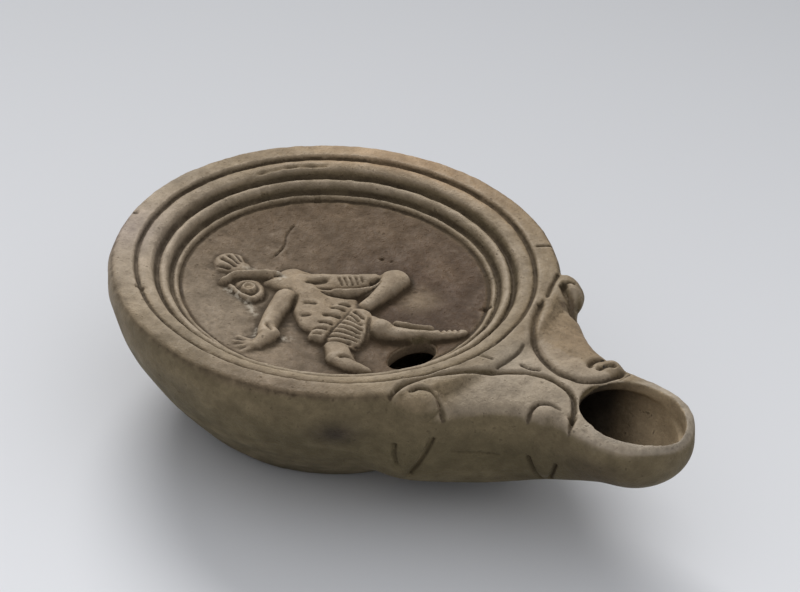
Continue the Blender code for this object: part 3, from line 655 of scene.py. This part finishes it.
points, normals = points_of(lamp), normals_of(lamp)
x, y, z = points.T
radius = np.hypot(x, y)
hollow = inside_of(points, normals)
snap = np.clip((rim - 0.2 - radius) / 1.0, 0, 1) * (z > 19.6) * (normals[:, 2] > -0.2)
snap *= np.clip((filling_edge - 1.0) / 0.25, 0, 1) * (np.abs(z - top_height(radius)) < 1.4)
points[:, 2] += snap * (top_height(radius) - z)
faces_up = np.clip(normals[:, 2] * 2.5, 0, 1) * (z > 19.6)
points[:, 2] += faces_up * sampled(relief, x, y)

most_triangles = 195000
swell = np.zeros(len(x))
for wave, size in ((24, 0.07), (17, 0.06), (13, 0.05), (9, 0.035), (7, 0.03), (5, 0.02)):
    for _ in range(2):
        way = chance.normal(size=3)
        way *= 2 * math.pi / wave / np.linalg.norm(way)
        swell += size * np.sin(points @ way + chance.uniform(0, 6.28))
swell += strokes(points, normals)
swell *= ~hollow * np.clip((z - 0.6) / 2.0, 0, 1) * (1 - 0.6 * faces_up)
move_points(lamp, points + normals * swell[:, None])
share_kept = most_triangles / (2 * len(lamp.data.polygons))
finish(lamp, "DECIMATE", ratio=share_kept, use_collapse_triangulate=True)
choose(lamp)
bpy.ops.object.shade_smooth()

# The clay's skin: unslipped grey-brown clay, rubbed pale on its crests, paler on its shoulder partly
# from a whitish deposit and partly as painted sheen, brown with old dirt and painted shade in the
# disc and the cuts, black with soot where the flame and the oil were, and with painted light and
# shade in the hollow. The broad tints and the masks are painted on the mesh's points.
points, normals = points_of(lamp), normals_of(lamp)
x, y, z = points.T
radius = np.hypot(x, y)
hollow = inside_of(points, normals)


def spot(ax, ay, reach, az=None, height_reach=None):
    """A soft round patch about a place."""
    away = ((x - ax) ** 2 + (y - ay) ** 2) / reach**2
    if az is not None:
        away = away + ((z - az) / (height_reach or reach)) ** 2
    return np.exp(-away)


def toned(tint, colour, mask):
    mask = np.clip(mask, 0, 1)[:, None]
    return tint * (1 - mask) + np.array(colour) * mask


def eased(low, high, value):
    t = np.clip((value - low) / (high - low), 0, 1)
    return t * t * (3 - 2 * t)


# The broad tints, from the wall up over the shoulder and the disc and last into the hollow.
tint = np.tile((0.17, 0.138, 0.085), (len(x), 1))
tint = toned(tint, (0.142, 0.118, 0.07), eased(24.5, 15.0, z))
tint = toned(tint, (0.165, 0.138, 0.088), eased(12.0, 3.0, z))
upper = eased(19.0, 21.0, z) * eased(0.2, 0.7, normals[:, 2])
tint = toned(tint, (0.24, 0.19, 0.125), upper)
# Paler patch on the left shoulder: partly a whitish deposit, partly painted sheen.
tint = toned(tint, (0.36, 0.3, 0.235), spot(-30, -16, 19, 26, 5) * 0.9)
tint = toned(tint, (0.33, 0.275, 0.25), spot(-33, -15, 6.5, 26, 5) * 0.7)
tint = toned(tint, (0.36, 0.255, 0.16), upper * eased(29, 33, radius) * spot(-8, 33, 22) * 0.9)
tint = toned(tint, (0.15, 0.113, 0.078), upper * eased(31, 33, radius) * spot(14, -34, 13) * 0.8)
# The sunk disc darker: partly brown dirt, partly painted shade of the recess.
tint = toned(tint, (0.125, 0.086, 0.052), upper * eased(27.5, 24.0, radius))
# Painted light on the disc's near left and painted shade on its far right, where the far wall shades
# it.
tint = toned(tint, (0.235, 0.19, 0.14), upper * eased(26.0, 24.5, radius) * spot(-10, -23, 21))
tint = toned(tint, (0.066, 0.038, 0.021), upper * eased(26.0, 24.5, radius) * spot(13, 8, 19))
on_top = eased(18.5, 19.5, z) * (~hollow) * eased(0.1, 0.5, normals[:, 2])
lifted = np.clip(sampled(figure * on_disc, x, y) * 1.3 - 0.3, 0, 1)
tint = toned(tint, (0.27, 0.21, 0.145), lifted * on_top)
tint = toned(tint, (0.26, 0.2, 0.135), spot(11.9, 7.0, 3.4) * on_top * 0.7)
# Painted sheen: paler top edges of the rim and the nozzle on the viewer's side.
tint = toned(tint, (0.33, 0.28, 0.22), upper * eased(34, 38, np.abs(x)) * (y < 6) * 0.8)
tint = toned(tint, (0.4, 0.345, 0.275), upper * spot(38.0, -1.5, 4.2) * 0.85)
tint = toned(tint, (0.085, 0.068, 0.046), eased(23.5, 20.0, z) * spot(60.0, -9.0, 6.0) * 0.8)
tint = toned(tint, (0.27, 0.2, 0.13), spot(42, 12, 9, 26, 6) * 0.8)
tint = toned(tint, (0.34, 0.3, 0.25), upper * eased(54, 58, x) * 0.8)
tint = toned(tint, (0.055, 0.044, 0.034), spot(22.9, -28.4, 3.4, 18.8, 2.8))
tint = toned(tint, (0.08, 0.065, 0.042), spot(12, -33, 4.0, 9.0, 3.0) * 0.5)
tint = toned(tint, (0.1, 0.076, 0.05), hollow)
# Painted light on the far wall of the wick bowl.
tint = toned(tint, (0.36, 0.29, 0.2), hollow * eased(50, 60, x) * eased(14, 19, z))
# Painted shade: the channel behind the wick bowl is black as if shaded by the roof.
tint = toned(tint, (0.05, 0.043, 0.036), hollow * eased(54, 50.0, x) * (x > 40))
tint = toned(tint, (0.3, 0.24, 0.17), hollow * (x < 40) * (z < 17))
tint = toned(tint, (0.2, 0.155, 0.11), hollow * (x < 40) * (z > 17))
tint *= (0.98, 0.94, 0.88)

# Crests of the relief are rubbed pale, cuts hold dirt, the foot of steps and steep faces get painted
# shade, and a white crust sits by the helmet.
on_shoulder = np.minimum(plan_radius, 36.9)
form = relief - np.where(plan_radius < 36.9, through(top_keys, on_shoulder), 0.4)
fine, broad = form - blurred(form, 0.35), form - blurred(form, 1.2)
steep = np.hypot(*np.gradient(blurred(form, 0.2), step))
pale = np.clip(fine * 4.0 + broad * 1.1 - 0.05, 0, 1)
# The dark mask: dirt in the cuts together with painted shade at the foot of steps; its steep term
# paints shade on steep faces.
dirt_and_shade = np.clip(-fine * 7.5 - broad * 2.0 + 0.4 * np.clip(steep - 0.4, 0, 1) - 0.05, 0, 1)
deposit = np.zeros(len(x))
for path, half in (
    (((-14.6, -5.2), (-11.2, -3.0), (-8.3, -3.4)), 0.7),
    (((-13.2, -12.0), (-9.1, -12.4), (-5.6, -14.0)), 0.55),
    (((-2.4, -17.2), (-1.0, -20.0)), 0.35),
    (((2.6, -16.4), (3.2, -15.6)), 0.5),
    (((-8.4, -3.0), (-8.2, -5.0)), 0.5),
):
    window, distance, _ = around(bent(path), 2.5 * half)
    layer = np.zeros(plan_x.shape)
    layer[window] = np.exp(-((distance / half) ** 2))
    deposit = np.maximum(deposit, sampled(layer, x, y))
edge_wear = eased(23.4, 25.0, z) * spot(60.5, -8.6, 5.5) * (np.abs(normals[:, 2]) < 0.93)
masks = np.stack([
    np.clip(sampled(pale, x, y) * on_top + edge_wear, 0, 1),
    np.clip(sampled(dirt_and_shade, x, y) * on_top - 1.8 * strokes(points, normals) * (~hollow), 0, 1),
    deposit * on_top,
    eased(20.0, 8.0, z) * (~hollow),
], 1)
for name, values in (("tint", np.column_stack([tint, np.ones(len(x))])), ("wear_dirt_and_shade", masks)):
    layer = lamp.data.color_attributes.new(name, "FLOAT_COLOR", "POINT")
    layer.data.foreach_set("color", values.astype(np.float32).ravel())


class Wire:
    """A node's output, on which sums are written as plain arithmetic."""

    def __init__(self, tree, socket=None):
        self.tree, self.socket = tree, socket

    def made(self, kind, settings=None, inputs=None, output=0):
        """Any node: its settings first, then the values and links of its inputs."""
        node = self.tree.nodes.new(kind)
        for name, value in (settings or {}).items():
            setattr(node, name, value)
        for name, value in (inputs or {}).items():
            if isinstance(value, Wire):
                self.tree.links.new(value.socket, node.inputs[name])
            else:
                node.inputs[name].default_value = value
        return Wire(self.tree, node.outputs[output])

    def sum_of(self, operation, a, b, clamp=False):
        return self.made("ShaderNodeMath", {"operation": operation, "use_clamp": clamp}, {0: a, 1: b})

    def __add__(self, other):
        return self.sum_of("ADD", self, other)

    def __radd__(self, other):
        return self.sum_of("ADD", other, self)

    def __sub__(self, other):
        return self.sum_of("SUBTRACT", self, other)

    def __rsub__(self, other):
        return self.sum_of("SUBTRACT", other, self)

    def __mul__(self, other):
        return self.sum_of("MULTIPLY", self, other)

    def __rmul__(self, other):
        return self.sum_of("MULTIPLY", other, self)

    def kept(self):
        """Held between 0 and 1."""
        return self.sum_of("MULTIPLY", self, 1.0, clamp=True)

    def noise(self, size, detail=4.0, stretch=(1, 1, 1)):
        """Noise on the object's own coordinates, its grains about the size in millimetres."""
        place = self.made("ShaderNodeTexCoord", output="Object")
        scaled = [v / (size * mm) for v in stretch]
        place = self.made("ShaderNodeVectorMath", {"operation": "MULTIPLY"}, {0: place, 1: scaled})
        return self.made("ShaderNodeTexNoise", {}, {"Vector": place, "Scale": 1.0, "Detail": detail})

    def over(self, colour, mask, kind="MIX"):
        """This colour with another laid over it through a mask."""
        settings = {"data_type": "RGBA", "blend_type": kind}
        return self.made("ShaderNodeMix", settings, {0: mask, 6: self, 7: colour}, 2)


# The clay itself: noises of four sizes multiply the painted tint, and the masks lay dirt with painted
# shade, rubbed crests, grain pits and crust over it.
clay = bpy.data.materials.new("fired_clay")
clay.use_nodes = True
surface = clay.node_tree.nodes["Principled BSDF"]
new = Wire(clay.node_tree)
base = new.made("ShaderNodeAttribute", {"attribute_name": "tint"}, output="Color")
wear_dirt_and_shade = new.made("ShaderNodeAttribute", {"attribute_name": "wear_dirt_and_shade"}, output="Color")
low = new.made("ShaderNodeAttribute", {"attribute_name": "wear_dirt_and_shade"}, output="Alpha")
parted = new.made("ShaderNodeSeparateColor", {}, {0: wear_dirt_and_shade}).socket.node
pale, dirt_and_shade, crust = (Wire(clay.node_tree, parted.outputs[i]) for i in range(3))
clouds, blots, grain, grit = new.noise(13), new.noise(3.2, 5), new.noise(0.9, 5), new.noise(0.3, 3)
streaks = new.noise(1.0, 4, (0.06, 0.06, 0.75))
base = base.over(0.55 + 0.9 * clouds, 1.0, "MULTIPLY")
base = base.over(0.62 + 0.76 * blots, 1.0, "MULTIPLY")
base = base.over(0.8 + 0.4 * grit, 1.0, "MULTIPLY")
base = base.over((0.5, 0.38, 0.24, 1), ((clouds - 0.55) * 3.0).kept() * 0.12)
base = base.over((0.09, 0.075, 0.045, 1), ((streaks - 0.55) * 5.0).kept() * (0.1 + 0.35 * low))
# Dirt and painted shade from the dark mask.
base = base.over((0.042, 0.029, 0.017, 1), (dirt_and_shade * (0.9 + (blots - 0.5) * 1.4)).kept() * 0.88)
base = base.over((0.43, 0.35, 0.26, 1), (pale * (0.55 + (blots - 0.4) * 1.6)).kept() * 0.7)
base = base.over(0.7 + 0.6 * grain, 1.0, "MULTIPLY")
base = base.over((0.04, 0.028, 0.018, 1), ((grain - 0.63) * 9.0).kept() * 0.5)
base = base.over((0.52, 0.46, 0.37, 1), (crust * ((grain - 0.42) * 6.0).kept()).kept() * 0.75)
roughness = 0.62 - 0.22 * ((blots - 0.4) * 2.0).kept() + 0.2 * dirt_and_shade
tall = blots * 0.45 + grain * 0.4 + grit * 0.26 - ((grain - 0.62) * 8.0).kept() * 0.3 + crust * 0.2
bumped = new.made("ShaderNodeBump", {}, {"Height": tall, "Strength": 0.85, "Distance": 0.5 * mm})
for name, wire in (("Base Color", base), ("Roughness", roughness), ("Normal", bumped)):
    clay.node_tree.links.new(wire.socket, surface.inputs[name])
surface.inputs["Specular IOR Level"].default_value = 0.1
lamp.data.materials.clear()
lamp.data.materials.append(clay)
lamp.name = "clay_lamp"
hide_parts("lamp_body")
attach(lamp, "root")

# The table: a sheet of pale studio paper under the lamp, lighter towards the viewer. It is one flat
# plane with a colour that fades along its length: painted shade for the light's fall-off away from
# the viewer.
bpy.ops.object.select_all(action="DESELECT")
bpy.ops.mesh.primitive_plane_add(size=4.0)
table = bpy.context.object
table.name = "table"
paper = bpy.data.materials.new("pale_paper")
paper.use_nodes = True
paper_surface = paper.node_tree.nodes["Principled BSDF"]
new = Wire(paper.node_tree)
spread = new.made("ShaderNodeTexCoord", output="Object")
to_viewer = (0.584, -0.811, 0)
nearer = new.made("ShaderNodeVectorMath", {"operation": "DOT_PRODUCT"}, {0: spread, 1: to_viewer}, 1)
# The grey far end is painted shade; the near white end is the lit paper.
far_grey, near_white = (0.33, 0.335, 0.348, 1), (0.96, 0.965, 0.99, 1)
colours = {0: (nearer * 2.6 + 0.5).kept(), 6: far_grey, 7: near_white}
shade = new.made("ShaderNodeMix", {"data_type": "RGBA"}, colours, 2)
paper.node_tree.links.new(shade.socket, paper_surface.inputs["Base Color"])
paper_surface.inputs["Roughness"].default_value = 0.9
table.data.materials.append(paper)

# The light: an even pale studio that brightens upwards, and one large soft lamp behind and to the
# left, which throws the shadow towards the viewer.
world = bpy.data.worlds.new("studio")
bpy.context.scene.world = world
world.use_nodes = True
new = Wire(world.node_tree)
sky = new.made("ShaderNodeTexCoord", output="Generated")
upward = new.made("ShaderNodeSeparateXYZ", {}, {0: sky}, 2)
background = world.node_tree.nodes["Background"]
background.inputs["Color"].default_value = (0.96, 0.975, 1.0, 1)
world.node_tree.links.new((0.22 + 0.64 * upward.kept()).socket, background.inputs["Strength"])
bpy.ops.object.light_add(type="AREA", location=(-0.50, 0.40, 0.50))
key = bpy.context.object
key.data.shape = "DISK"
key.data.size = 0.42
key.data.energy = 5.0
key.rotation_euler = (-key.location).to_track_quat("-Z", "Y").to_euler()

# The camera: where the outline and the rings put it when they are fitted to the photo. It looks
# down on the lamp from the near side of the nozzle through a long lens.
camera_data = bpy.data.cameras.new("camera")
camera = bpy.data.objects.new("camera", camera_data)
bpy.context.collection.objects.link(camera)
right, up = (0.78903, 0.61214, 0.05202), (-0.38177, 0.42222, 0.82218)
back = (0.48133, -0.66859, 0.56684)
turn = Matrix((right, up, back)).transposed().to_4x4()
camera.matrix_world = Matrix.Translation((0.29807, -0.39549, 0.36187)) @ turn
camera_data.lens = 162.97
camera_data.sensor_width = 36.0
camera_data.clip_start = 0.01
bpy.context.scene.camera = camera
bpy.context.scene.view_settings.view_transform = "Standard"
